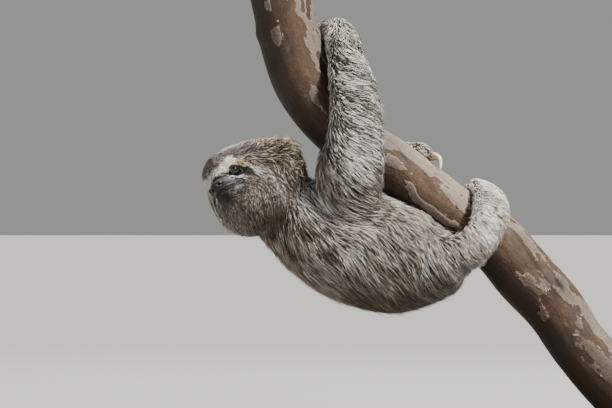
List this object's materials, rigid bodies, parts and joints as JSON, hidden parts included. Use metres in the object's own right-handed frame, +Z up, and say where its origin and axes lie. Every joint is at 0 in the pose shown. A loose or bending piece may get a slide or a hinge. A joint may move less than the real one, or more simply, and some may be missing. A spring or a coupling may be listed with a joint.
{
  "type": "three-toed sloth model",
  "caption": "Life-size still model of a young three-toed sloth climbing along the underside of a short length of branch, on a plain display stand.",
  "frame": {"origin": "on the floor, under the middle of the display stand's base", "axes": "-X is the way the head points, +Y is the far side of the branch from the animal's raised arm, +Z is up"},
  "size_m": [0.4617, 0.26, 0.4867],
  "materials": {
    "coat": "coarse grey-brown hair with pale tips",
    "nose_skin": "bare, moist, finely pebbled skin",
    "eye": "wet, dark brown, glossy",
    "claw": "pale horn, satin, darker at the root",
    "bark": "smooth flaking bark, brown under pinkish grey",
    "stand_wood": "dark stained wood, satin varnish",
    "stand_steel": "brushed"
  },
  "bodies": {
    "root": {"head": "coat", "neck": "coat", "trunk": "coat", "tail": "coat", "ear_left": "coat", "ear_right": "coat", "upper_arm_right": "coat", "forearm_right": "coat", "hand_right": "coat", "upper_arm_left": "coat", "forearm_left": "coat", "hand_left": "coat", "thigh_right": "coat", "shank_right": "coat", "foot_right": "coat", "thigh_left": "coat", "shank_left": "coat", "foot_left": "coat", "nose": "nose_skin", "eye_left": "eye", "eye_right": "eye", "claw_hand_right_1": "claw", "claw_hand_right_2": "claw", "claw_hand_right_3": "claw", "claw_hand_left_1": "claw", "claw_hand_left_2": "claw", "claw_hand_left_3": "claw", "claw_foot_right_1": "claw", "claw_foot_right_2": "claw", "claw_foot_right_3": "claw", "claw_foot_left_1": "claw", "claw_foot_left_2": "claw", "claw_foot_left_3": "claw", "branch": "bark", "stand_base": "stand_wood", "stand_rod_1": "stand_steel", "stand_rod_2": "stand_steel"}
  },
  "joints": []
}
